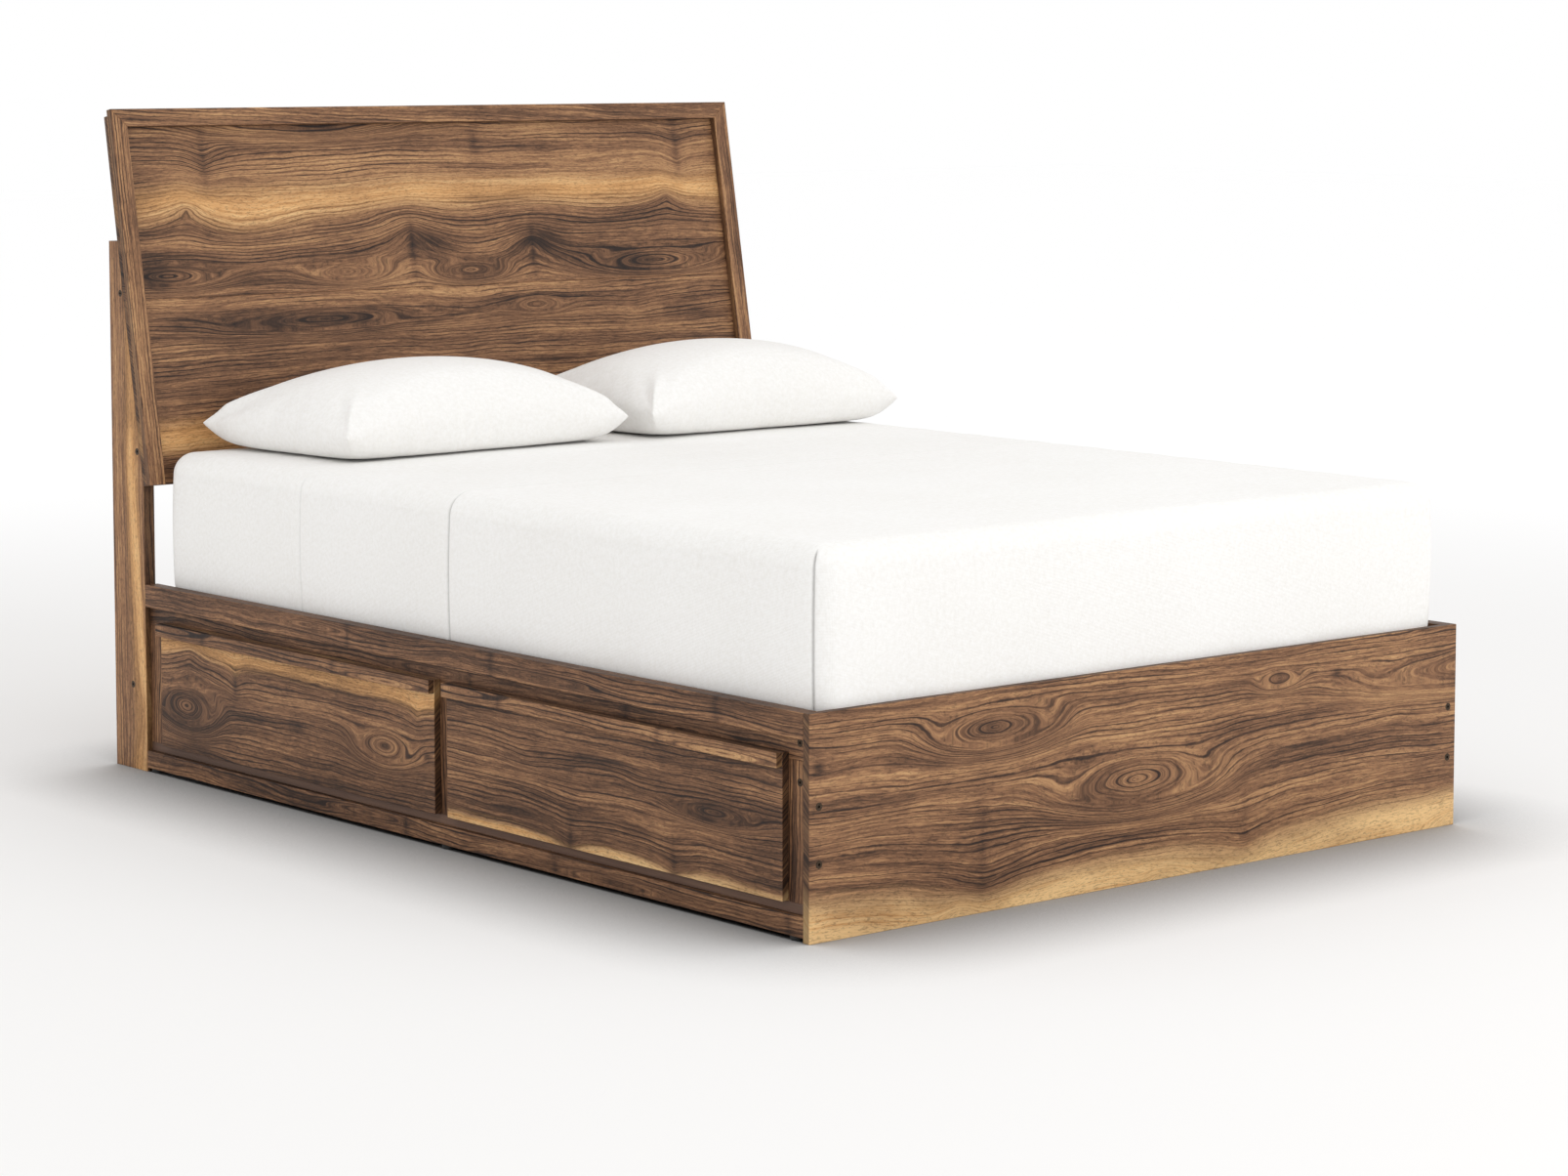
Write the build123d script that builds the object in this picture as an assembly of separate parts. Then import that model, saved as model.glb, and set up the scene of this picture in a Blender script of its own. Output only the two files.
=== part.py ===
from build123d import *
import math
import os

# Platform bed with a raked headboard and four storage drawers, two on each long side.
# All sizes are millimetres. X runs across the bed, Y towards the head, Z up from the floor.
# "along" sizes are measured from the footboard's front face, and "out" sizes from the centre line.

# driving dimensions
bed_width = 1600.0
post_depth = 120.0
post_thickness = 25.0
post_height = 1072.0
post_back_along = 2190.0
side_length_along = post_back_along - post_depth

headboard_lean = 10.07
headboard_height = 764.0
headboard_foot_along = 2042.6
headboard_foot_height = 586.0
frame_face = 36.0
frame_thickness = 16.0
plank_thickness = 12.0
plank_top_drop = 12.0
batten_width = 60.0
batten_thickness = 20.0

footboard_height = 382.0
footboard_thickness = 16.0

rail_thickness = 30.0
rail_recess = 12.0
frame_board = 18.0
rail_top = 382.0
band_bottom = 337.0
base_top = 43.0
glide_height = 8.0

drawer_front_width = 951.0
drawer_front_bottom = 62.0
drawer_front_top = 311.0
drawer_front_thickness = 14.0
drawer_front_proud = 2.5
foot_gap = 49.5
centre_gap = 39.5
front_lap = 12.0
pull_height = 25.0
pull_depth = 13.0

cabinet_depth = 580.0
runner_gap = 12.7
runner_height = 35.0
runner_length = 520.0
runner_wall = 1.2
box_depth = 540.0
box_side_height = 190.0
box_side_thickness = 12.0
box_bottom_thickness = 6.0
box_lift = 15.0

slat_top = 345.0
slat_thickness = 18.0
slat_width = 70.0
slat_count = 13
cleat_width = 25.0
cleat_height = 30.0

mattress_width = 1524.0
mattress_length = 2022.0
mattress_top = 652.0
mattress_round = 34.0
pillow_length = 730.0
pillow_depth = 480.0
pillow_height = 165.0
pillow_round = 60.0

screw_head_radius = 7.0
screw_head_depth = 3.0
screw_shank_radius = 3.0
screw_length = 50.0
screw_clearance = 0.05
socket_radius = 2.7
socket_depth = 2.4

edge_ease = 0.7

# derived places
half_width = bed_width / 2
lean = math.radians(headboard_lean)
headboard_thickness = frame_thickness + plank_thickness
overall_length = (
    headboard_foot_along
    + (headboard_height - plank_top_drop) * math.sin(lean)
    + headboard_thickness * math.cos(lean)
)
centre_along = overall_length / 2
frame_out = half_width - rail_recess
frame_inner = frame_out - frame_board
post_inner = half_width - post_thickness
cabinet_back_out = frame_out - cabinet_depth
bottom_top = base_top + frame_board
opening_top = drawer_front_top - front_lap
front_out = half_width + drawer_front_proud
slat_bottom = slat_top - slat_thickness
cross_rail_thickness = 18.0
cross_rail_centre = side_length_along + 51.0
cross_rail_along = cross_rail_centre - cross_rail_thickness / 2
beam_width = 40.0
beam_height = 80.0
leg_size = 40.0

first_front = footboard_thickness + foot_gap
second_front = first_front + drawer_front_width + centre_gap
front_starts = {"foot": first_front, "head": second_front}
stile_spans = (
    (footboard_thickness, first_front + front_lap),
    (first_front + drawer_front_width - front_lap, second_front + front_lap),
    (second_front + drawer_front_width - front_lap, side_length_along),
)
end_panel_centre = footboard_thickness + 21.5
panel_centres = (end_panel_centre, sum(stile_spans[1]) / 2, side_length_along - frame_board / 2)
panel_spans = [(centre - frame_board / 2, centre + frame_board / 2) for centre in panel_centres]
sides = {"left": -1, "right": 1}
nodes = {}


def board(out_a, out_b, along_a, along_b, low, high, side=1, ease=edge_ease):
    """A flat board between two distances out, two distances along and two heights, edges eased."""
    x_a, x_b = sorted((side * out_a, side * out_b))
    block = Box(x_b - x_a, along_b - along_a, high - low, align=(Align.MIN, Align.MIN, Align.MIN))
    if ease:
        block = chamfer(block.edges(), ease)
    return Pos(x_a, along_a - centre_along, low) * block


def raked(shape):
    """Tip a headboard piece back by the lean and stand it at the headboard's foot."""
    foot = Pos(0, headboard_foot_along - centre_along, headboard_foot_height)
    return foot * Rot(-headboard_lean, 0, 0) * shape


def raked_board(x_a, x_b, front, back, low, high):
    """A board parallel to the headboard, measured up its slope and back from its front face."""
    block = Box(x_b - x_a, back - front, high - low, align=(Align.MIN, Align.MIN, Align.MIN))
    return raked(Pos(x_a, front, low) * chamfer(block.edges(), edge_ease))


def mitred_member(corners):
    """A frame member of the headboard from its outline on the front face, extruded back."""
    outline = make_face(Plane.XZ * Polyline(*corners, close=True))
    member = extrude(outline, amount=frame_thickness, dir=(0, 1, 0))
    return raked(chamfer(member.edges(), edge_ease))


def headboard_frame():
    """Top rail and two stiles, mitred where they meet at the top corners."""
    inner = half_width - frame_face
    shoulder = headboard_height - frame_face
    top_rail = [
        (-half_width, headboard_height),
        (half_width, headboard_height),
        (inner, shoulder),
        (-inner, shoulder),
    ]
    nodes["headboard_top_rail"] = [mitred_member(top_rail)]
    for name, side in sides.items():
        stile = [
            (side * half_width, 0),
            (side * half_width, headboard_height),
            (side * inner, shoulder),
            (side * inner, 0),
        ]
        nodes[f"headboard_stile_{name}"] = [mitred_member(stile)]


def headboard_back():
    """Two wide planks behind the frame, and three battens that hold them together."""
    plank_top = headboard_height - plank_top_drop
    plank_joint = plank_top / 2
    layer = (frame_thickness, headboard_thickness)
    nodes["headboard_plank_lower"] = [raked_board(-half_width, half_width, *layer, 0, plank_joint)]
    nodes["headboard_plank_upper"] = [raked_board(-half_width, half_width, *layer, plank_joint, plank_top)]
    batten_back = headboard_thickness + batten_thickness
    batten_low = 12.0
    batten_high = headboard_height - 150.0
    edge = post_inner - batten_width
    starts = (-post_inner, -batten_width / 2, edge)
    nodes["headboard_battens"] = [
        raked_board(start, start + batten_width, headboard_thickness, batten_back, batten_low, batten_high)
        for start in starts
    ]


def posts():
    """Floor-standing posts whose front edge is cut to the headboard's slope where they carry it."""
    front = side_length_along
    rake_run = math.tan(lean)
    back_foot_along = headboard_foot_along + headboard_thickness / math.cos(lean)
    cut_start = headboard_foot_height + (front - back_foot_along) / rake_run
    top_front = back_foot_along + (post_height - headboard_foot_height) * rake_run
    outline = [
        (front - centre_along, 0),
        (post_back_along - centre_along, 0),
        (post_back_along - centre_along, post_height),
        (top_front - centre_along, post_height),
        (front - centre_along, cut_start),
    ]
    profile = make_face(Plane.YZ * Polyline(*outline, close=True))
    plank = chamfer(extrude(profile, amount=post_thickness, dir=(1, 0, 0)).edges(), edge_ease)
    nodes["post_right"] = [Pos(post_inner, 0, 0) * plank]
    nodes["post_left"] = [Pos(-half_width, 0, 0) * plank]


def cross_members():
    """The rail between the posts, the beam under the slats and the beam's legs."""
    back = cross_rail_along + cross_rail_thickness
    rail = board(-post_inner, post_inner, cross_rail_along, back, 60.0, slat_bottom)
    nodes["headboard_cross_rail"] = [rail]
    beam_low = slat_bottom - beam_height
    half_beam = beam_width / 2
    beam = board(-half_beam, half_beam, footboard_thickness, cross_rail_along, beam_low, slat_bottom)
    nodes["centre_beam"] = [beam]
    nodes["centre_legs"] = [
        board(-leg_size / 2, leg_size / 2, place - leg_size / 2, place + leg_size / 2, glide_height, beam_low)
        for place in leg_places()
    ]


def leg_places():
    """Three leg places, evenly spread along the beam."""
    return [side_length_along * share for share in (0.2, 0.5, 0.8)]


def footboard():
    """One wide board that stands on the floor across the whole width."""
    nodes["footboard"] = [board(-half_width, half_width, 0, footboard_thickness, 0, footboard_height)]


def corner_brackets():
    """Steel angles that tie each side's head panel to the post's inner face, two to a corner."""
    leg = 38.0
    plate = 2.5
    height = 40.0
    angles = []
    for side in sides.values():
        for low in (110.0, 230.0):
            block = board(post_inner - leg, post_inner, side_length_along, side_length_along + leg,
                          low, low + height, side, ease=0)
            hollow = board(post_inner - leg, post_inner - plate, side_length_along + plate,
                           side_length_along + leg, low, low + height, side, ease=0)
            angles.append(block - hollow)
    nodes["corner_brackets"] = angles


def side_rails(name, side):
    """The proud top and base rails, and the set-back face frame between them."""
    outer = half_width
    inner = half_width - rail_thickness
    span = (footboard_thickness, side_length_along)
    nodes[f"side_rail_{name}"] = [board(inner, outer, *span, band_bottom, rail_top, side)]
    nodes[f"base_rail_{name}"] = [board(inner, outer, *span, glide_height, base_top, side)]
    nodes[f"frame_rail_{name}"] = [board(frame_inner, frame_out, *span, opening_top, band_bottom, side)]
    nodes[f"face_stiles_{name}"] = [
        board(frame_inner, frame_out, *stile, bottom_top, opening_top, side) for stile in stile_spans
    ]


def cabinet(name, side):
    """The case that the two drawers run in: uprights, back and bottom."""
    span = (footboard_thickness, side_length_along)
    back_inner = cabinet_back_out + frame_board
    low_top = slat_bottom - cleat_height
    panel_tops = (band_bottom, low_top, band_bottom)
    nodes[f"cabinet_bottom_{name}"] = [board(cabinet_back_out, frame_out, *span, base_top, bottom_top, side)]
    nodes[f"cabinet_back_{name}"] = [board(cabinet_back_out, back_inner, *span, bottom_top, low_top, side)]
    nodes[f"cabinet_panels_{name}"] = [
        board(back_inner, frame_inner, *panel, bottom_top, top, side)
        for panel, top in zip(panel_spans, panel_tops)
    ]


def runner_faces():
    """For each drawer, the along place of the two faces that carry its runners."""
    faces = {}
    for place, start in front_starts.items():
        faces[place] = (start + front_lap, start + drawer_front_width - front_lap)
    return faces


def runner_spacers():
    """Timber packers that bring the runners out to the edge of each opening."""
    low = runner_low() - 12.0
    high = low + runner_height + 24.0
    near = frame_inner
    far = frame_inner - runner_length
    pairs = (
        (panel_spans[0][1], runner_faces()["foot"][0]),
        (runner_faces()["foot"][1], panel_spans[1][0]),
        (panel_spans[1][1], runner_faces()["head"][0]),
        (runner_faces()["head"][1], panel_spans[2][0]),
    )
    return [board(far, near, *pair, low, high, side) for side in sides.values() for pair in pairs]


def runner_low():
    """Underside of the runners, a little above the drawer box's underside."""
    return bottom_top + box_lift + 45.0


def channel(out_a, out_b, web_along, reach, low, high, side):
    """A pressed-steel channel lying along X: a web at web_along, flanges reaching from it."""
    tip = web_along + reach
    outer = board(out_a, out_b, min(web_along, tip), max(web_along, tip), low, high, side, ease=0)
    wall = math.copysign(runner_wall, reach)
    inner_span = sorted((web_along + wall, tip))
    hollow = board(out_a, out_b, *inner_span, low + runner_wall, high - runner_wall, side, ease=0)
    return outer - hollow


def cabinet_runners():
    """The fixed members of the telescopic runners, two to a drawer."""
    low = runner_low()
    high = low + runner_height
    reach = runner_gap - runner_wall - 0.5
    back = frame_inner - runner_length
    channels = []
    for side in sides.values():
        for foot_face, head_face in runner_faces().values():
            channels.append(channel(back, frame_inner, foot_face, reach, low, high, side))
            channels.append(channel(back, frame_inner, head_face, -reach, low, high, side))
    nodes["cabinet_runners"] = channels


def slats():
    """Loose cross slats on two cleats and the centre beam, evenly spread along the bed."""
    first = 90.0
    last = side_length_along - 40.0 - slat_width
    pitch = (last - first) / (slat_count - 1)
    reach = half_width - rail_thickness - 2.0
    nodes["slats"] = [
        board(-reach, reach, first + i * pitch, first + i * pitch + slat_width, slat_bottom, slat_top)
        for i in range(slat_count)
    ]
    cleat_out = half_width - rail_thickness
    nodes["slat_cleats"] = [
        board(cleat_out - cleat_width, cleat_out, panel_spans[0][1], panel_spans[2][0],
              slat_bottom - cleat_height, slat_bottom, side)
        for side in sides.values()
    ]


def glides():
    """Plastic glides under the base rails and legs, and taller feet under each case's back."""
    radius = 14.0
    rail_out = half_width - rail_thickness / 2
    back_out = cabinet_back_out + 40.0
    places = [45.0, side_length_along / 2, side_length_along - 20.0]
    pads = []
    for side in sides.values():
        for place in places:
            pads.append(Pos(side * rail_out, place - centre_along, 0) * glide(radius, glide_height))
            pads.append(Pos(side * back_out, place - centre_along, 0) * glide(radius + 4.0, base_top))
    for place in leg_places():
        pads.append(Pos(0, place - centre_along, 0) * glide(radius, glide_height))
    nodes["glides"] = pads


def glide(radius, height):
    """A round foot with a softened lower rim."""
    disc = Cylinder(radius, height, align=(Align.CENTER, Align.CENTER, Align.MIN))
    return chamfer(disc.edges().group_by(Axis.Z)[0], 1.5)


def drawer(name, side, start):
    """One drawer: lapped front, proud pull strip, box sides, back, bottom and moving runners."""
    end = start + drawer_front_width
    inner = front_out - drawer_front_thickness
    front = board(inner, front_out, start, end, drawer_front_bottom, drawer_front_top, side)
    nodes[f"{name}_front"] = [front]
    pull_low = drawer_front_top - pull_height
    pull = board(front_out, front_out + pull_depth, start, end, pull_low, drawer_front_top, side)
    nodes[f"{name}_pull"] = [pull]

    low = bottom_top + box_lift
    high = low + box_side_height
    side_a = start + front_lap + runner_gap
    side_b = end - front_lap - runner_gap
    back_out = inner - box_depth
    nodes[f"{name}_box_sides"] = [
        board(back_out, inner, side_a, side_a + box_side_thickness, low, high, side),
        board(back_out, inner, side_b - box_side_thickness, side_b, low, high, side),
    ]
    within = (side_a + box_side_thickness, side_b - box_side_thickness)
    back_inner = back_out + box_side_thickness
    nodes[f"{name}_box_back"] = [board(back_out, back_inner, *within, low, high - 12.0, side)]
    bottom_low = low + 8.0
    bottom_high = bottom_low + box_bottom_thickness
    nodes[f"{name}_box_bottom"] = [board(back_inner, inner, *within, bottom_low, bottom_high, side, ease=0)]

    member_low = runner_low() + runner_wall + 1.5
    member_high = runner_low() + runner_height - runner_wall - 1.5
    reach = runner_gap - runner_wall - 1.0
    member_front = frame_inner
    member_back = frame_inner - runner_length
    nodes[f"{name}_runners"] = [
        channel(member_back, member_front, side_a, -reach, member_low, member_high, side),
        channel(member_back, member_front, side_b, reach, member_low, member_high, side),
    ]


def mattress():
    """A plain block for the mattress, its edges rounded, lying on the slats."""
    start = footboard_thickness + 2.0
    half = mattress_width / 2
    block = board(-half, half, start, start + mattress_length, slat_top, mattress_top, ease=0)
    nodes["mattress"] = [fillet(block.edges(), mattress_round)]


def pillows():
    """Two plain blocks for the pillows, side by side on the mattress against the headboard."""
    back_along = headboard_foot_along + 2.0
    for name, start in (("left", -672.0), ("right", 76.0)):
        block = board(start, start + pillow_length, back_along - pillow_depth, back_along,
                      mattress_top, mattress_top + pillow_height, ease=0)
        nodes[f"pillow_{name}"] = [fillet(block.edges(), pillow_round)]


def screw(point, heading):
    """A connector screw: flat head with a hex socket, plain shank, driven along heading."""
    axis = Plane(origin=point, z_dir=heading)
    base = (Align.CENTER, Align.CENTER, Align.MIN)
    head = Cylinder(screw_head_radius, screw_head_depth, align=base)
    shank = Cylinder(screw_shank_radius, screw_length, align=base)
    socket = extrude(RegularPolygon(socket_radius, 6), amount=socket_depth)
    return axis.location * (head + shank - socket)


def screw_hole(point, heading):
    """The stepped hole that takes a connector screw with a hair of clearance."""
    axis = Plane(origin=point, z_dir=heading)
    base = (Align.CENTER, Align.CENTER, Align.MIN)
    head = Cylinder(screw_head_radius + screw_clearance, screw_head_depth, align=base)
    shank = Cylinder(screw_shank_radius + screw_clearance, screw_length, align=base)
    return axis.location * (head + shank)


def screw_places():
    """Each screw's head centre, heading and the nodes that it passes through."""
    places = []
    stile_centre = frame_out - frame_board / 2
    batten_depth = headboard_thickness + batten_thickness / 2
    for name, side in sides.items():
        for height in (131.0, 227.0):
            point = (side * stile_centre, -centre_along, height)
            places.append((point, (0, 1, 0), ["footboard", f"face_stiles_{name}"]))
        for height in (263.0, 329.0):
            point = (side * frame_out, end_panel_centre - centre_along, height)
            targets = [f"face_stiles_{name}", f"frame_rail_{name}", f"cabinet_panels_{name}"]
            places.append((point, (-side, 0, 0), targets))
        rail_point = (side * half_width, cross_rail_centre - centre_along, 173.0)
        places.append((rail_point, (-side, 0, 0), [f"post_{name}", "headboard_cross_rail"]))
        for slope in (72.0, 394.0):
            along = headboard_foot_along + slope * math.sin(lean) + batten_depth * math.cos(lean)
            height = headboard_foot_height + slope * math.cos(lean) - batten_depth * math.sin(lean)
            point = (side * half_width, along - centre_along, height)
            places.append((point, (-side, 0, 0), [f"post_{name}", "headboard_battens"]))
    return places


def drive_screws():
    """Drill every screw's hole in the boards it joins, and add the screws as one group."""
    fasteners = []
    for point, heading, targets in screw_places():
        hole = screw_hole(point, heading)
        for target in targets:
            nodes[target] = [drilled(solid, hole) for solid in nodes[target]]
        fasteners.append(screw(point, heading))
    nodes["connector_screws"] = fasteners


def drilled(solid, hole):
    """The board less the hole, or the board itself where the hole misses it."""
    board_box = solid.bounding_box()
    hole_box = hole.bounding_box()
    lows = zip(tuple(board_box.min), tuple(hole_box.max))
    highs = zip(tuple(board_box.max), tuple(hole_box.min))
    apart = any(low >= high for low, high in lows) or any(high <= low for high, low in highs)
    return solid if apart else solid - hole


def write_parts():
    """One STEP file for each node, a group of solids where the node has several."""
    os.makedirs("parts", exist_ok=True)
    for name, solids in nodes.items():
        shape = solids[0] if len(solids) == 1 else Compound(children=solids)
        export_step(shape, f"parts/{name}.step")
    print(len(nodes), "nodes, overall length", round(overall_length, 1))


headboard_frame()
headboard_back()
posts()
cross_members()
footboard()
corner_brackets()
for side_name, side_sign in sides.items():
    side_rails(side_name, side_sign)
    cabinet(side_name, side_sign)
    for place_name, front_start in front_starts.items():
        drawer(f"drawer_{side_name}_{place_name}", side_sign, front_start)
nodes["runner_spacers"] = runner_spacers()
cabinet_runners()
slats()
glides()
mattress()
pillows()
drive_screws()
write_parts()
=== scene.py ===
import math

import bmesh
import bpy
import numpy as np
from mathutils import Matrix, Vector


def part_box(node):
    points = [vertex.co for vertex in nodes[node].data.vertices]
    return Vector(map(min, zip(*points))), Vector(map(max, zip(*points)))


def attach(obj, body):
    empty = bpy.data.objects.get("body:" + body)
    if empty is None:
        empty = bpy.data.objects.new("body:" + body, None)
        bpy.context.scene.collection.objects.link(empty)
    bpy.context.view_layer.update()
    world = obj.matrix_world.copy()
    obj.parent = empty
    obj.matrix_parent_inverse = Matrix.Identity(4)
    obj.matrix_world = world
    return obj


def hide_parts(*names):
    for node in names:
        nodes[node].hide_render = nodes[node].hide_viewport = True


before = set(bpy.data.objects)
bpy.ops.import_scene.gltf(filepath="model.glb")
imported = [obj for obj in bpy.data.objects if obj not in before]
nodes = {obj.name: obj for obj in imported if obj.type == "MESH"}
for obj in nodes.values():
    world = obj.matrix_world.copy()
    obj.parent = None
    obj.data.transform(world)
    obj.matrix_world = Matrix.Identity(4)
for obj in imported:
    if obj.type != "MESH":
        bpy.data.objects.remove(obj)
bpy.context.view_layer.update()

print("frame loaded,", len(nodes), "CAD nodes")


def linearColour(hexCode):
    # sRGB hex to linear RGBA: below 0.04045 a thirteenth, above it the 2.4 power curve
    parts = [int(hexCode[i:i + 2], 16) / 255 for i in (1, 3, 5)]
    return [c / 12.92 if c <= 0.04045 else ((c + 0.055) / 1.055) ** 2.4 for c in parts] + [1.0]


def addNode(tree, kind, settings, inputs):
    # one node with its settings; each input is another node's output, which is linked, or a plain value
    node = tree.nodes.new("ShaderNode" + kind)
    for key, value in settings.items():
        setattr(node, key, value)
    for key, value in inputs.items():
        if isinstance(value, bpy.types.NodeSocket):
            tree.links.new(value, node.inputs[key])
        else:
            node.inputs[key].default_value = value
    return node.outputs


def newMaterial(name):
    material = bpy.data.materials.new(name)
    material.use_nodes = True
    return material, material.node_tree, material.node_tree.nodes["Principled BSDF"]


def rampColours(tree, fac, stops):
    # a colour ramp from (place, hex) stops, driven by one value
    ramp = addNode(tree, "ValToRGB", {}, {"Fac": fac})
    band = ramp[0].node.color_ramp
    while len(band.elements) < len(stops):
        band.elements.new(0.5)
    for element, (place, hexCode) in zip(band.elements, stops):
        element.position = place
    for element, (place, hexCode) in zip(band.elements, stops):
        element.color = linearColour(hexCode)
    return ramp[0]


def assign(nodeName, material):
    for slot in nodes[nodeName].material_slots:
        slot.material = material


cameraLook = {
    "place": (-4.9962, -6.0283, 1.4638),
    "heading": 40.053,      # degrees from +Y towards +X
    "dip": 5.462,           # degrees below level
    "lens": 92.34, "sensorWidth": 36.0,
    "shiftY": -0.1,
    "clip": (0.1, 100.0),
}


def makeCamera():
    data = bpy.data.cameras.new("camera")
    data.lens = cameraLook["lens"]
    data.sensor_width = cameraLook["sensorWidth"]
    data.shift_y = cameraLook["shiftY"]
    data.clip_start, data.clip_end = cameraLook["clip"]
    camera = bpy.data.objects.new("camera", data)
    camera.location = cameraLook["place"]
    camera.rotation_euler = (math.radians(90 - cameraLook["dip"]), 0, -math.radians(cameraLook["heading"]))
    bpy.context.scene.collection.objects.link(camera)
    bpy.context.scene.camera = camera


# place, target, size and watts of each soft box
lightLook = {
    "overhead": {"at": (0.6, -0.6, 4.6), "to": (0, 0, 0), "size": (4.0, 4.0), "watts": 10},
    "front": {"at": (1.6, -6.0, 2.6), "to": (0, 0, 0.5), "size": (4.0, 3.0), "watts": 71},
    "fill": {"at": (-6.0, 0.5, 2.6), "to": (0, 0, 0.4), "size": (3.0, 2.0), "watts": 16},
    "skyStrength": 1.0,
    "skyColour": "#ffffff",
}


def makeLight():
    for name in ("overhead", "front", "fill"):
        look = lightLook[name]
        data = bpy.data.lights.new(name, "AREA")
        data.shape = "RECTANGLE"
        data.size, data.size_y = look["size"]
        data.energy = look["watts"]
        box = bpy.data.objects.new(name, data)
        box.location = look["at"]
        aim = Vector(look["to"]) - Vector(look["at"])
        box.rotation_euler = aim.to_track_quat("-Z", "Y").to_euler()
        bpy.context.scene.collection.objects.link(box)
    sky = bpy.data.worlds.new("sky")
    sky.use_nodes = True
    background = sky.node_tree.nodes["Background"]
    background.inputs["Color"].default_value = linearColour(lightLook["skyColour"])
    background.inputs["Strength"].default_value = lightLook["skyStrength"]
    bpy.context.scene.world = sky
    bpy.context.scene.view_settings.view_transform = "Standard"


floorLook = {
    "reach": 30.0,          # metres from the middle to each side
    "near": "#efeeed",      # round the bed, where it balances the lamps' own pools of light
    "far": "#ffffff",
    "fade": (2.4, 6.5),     # metres from the middle where the near tone starts and ends its change
    "paintedShadeReach": 0.36, "paintedShadePower": 1.3,   # painted shade: ambient occlusion darkens the floor's colour in the corner under the bed
    "roughness": 0.9, "specular": 0.1,
}


def makeFloor():
    # Matt studio floor paint: pale and even, with next to no gloss, and painted shade from ambient occlusion
    # darkening its colour next to the bed
    look, reach = floorLook, floorLook["reach"]
    mesh = bpy.data.meshes.new("floor")
    corners = [(-reach, -reach, 0), (reach, -reach, 0), (reach, reach, 0), (-reach, reach, 0)]
    mesh.from_pydata(corners, [], [(0, 1, 2, 3)])
    floor = bpy.data.objects.new("floor", mesh)
    bpy.context.scene.collection.objects.link(floor)
    material, tree, shader = newMaterial("matt white floor paint")
    coords = addNode(tree, "TexCoord", {}, {})["Object"]
    away = addNode(tree, "VectorMath", {"operation": "LENGTH"}, {0: coords})["Value"]
    fadeStart, fadeEnd = look["fade"]
    fade = addNode(tree, "MapRange", {"interpolation_type": "SMOOTHSTEP"},
                   {0: away, 1: fadeStart, 2: fadeEnd, 3: 0.0, 4: 1.0})[0]
    tone = rampColours(tree, fade, ((0.0, look["near"]), (1.0, look["far"])))
    # painted shade: the floor's colour is scaled down by ambient occlusion, darkest where the bed meets the
    # floor
    openness = addNode(tree, "AmbientOcclusion", {"samples": 8}, {"Distance": look["paintedShadeReach"]})["AO"]
    paintedShadeFactor = addNode(tree, "Math", {"operation": "POWER"}, {0: openness, 1: look["paintedShadePower"]})[0]
    shaded = addNode(tree, "VectorMath", {"operation": "SCALE"}, {0: tone, "Scale": paintedShadeFactor})[0]
    tree.links.new(shaded, shader.inputs["Base Color"])
    shader.inputs["Roughness"].default_value = look["roughness"]
    shader.inputs["Specular IOR Level"].default_value = look["specular"]
    mesh.materials.append(material)


makeCamera()
makeLight()
makeFloor()
print("camera, light and floor made")


walnut = {
    "heart": ((0.0, "#25160e"), (0.22, "#402a1c"), (0.42, "#64452f"), (0.58, "#825c40"),
              (0.76, "#a47a54"), (1.0, "#c39869")),
    "sap": ((0.0, "#6f4f34"), (0.32, "#b88753"), (0.58, "#dba569"), (1.0, "#f0c98f")),
    "edge": 0.5,            # edge bands are darker than the faces
    "edgeTurn": 0.9,        # how far the figure runs on over an edge, as a share of the depth
    "longWarp": 0.040, "shortWarp": 0.006,       # metres of slow and of quick waviness in the growth lines
    "bands": 30.0,          # broad streaks per metre of height field, about 33 mm each
    "lines": 150.0,         # narrow streaks, about 7 mm each
    "fibres": 420.0,        # fibres 2.4 mm wide, drawn coarser than real ones so that they show
    "rings": 112.0,         # growth lines per metre of height field, one in 9 mm
    "bandShare": 1.0, "lineShare": 0.85, "fibreShare": 0.85, "blotchShare": 0.35, "ringShare": 0.44,
    "ringDrift": 9.0,       # radians by which the broad bands push the growth lines apart
    "eyeRings": 1.25,       # height gained over an eye's half width, which sets how many rings it holds
    "eyeRipple": 0.35,      # how uneven the rings are, as a share of the eye's size
    "eyeFade": (0.3, 4.0),  # strength and power of the fade into the growth lines outside
    "sapRagged": 0.03,      # metres by which the narrow streaks fray a sapwood band's edges
    "sapRings": 0.45,       # growth lines are fainter in sapwood
    "poreShade": 0.62,
    "gloss": (0.62, 0.5),   # roughness in the darkest and the palest streaks
    "ior": 1.5, "specular": 0.3, "bump": 0.35, "bumpDepth": 0.0004,
}
through = 1e3               # bells and eyes run right through the board, so their depth is as good as endless


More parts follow.
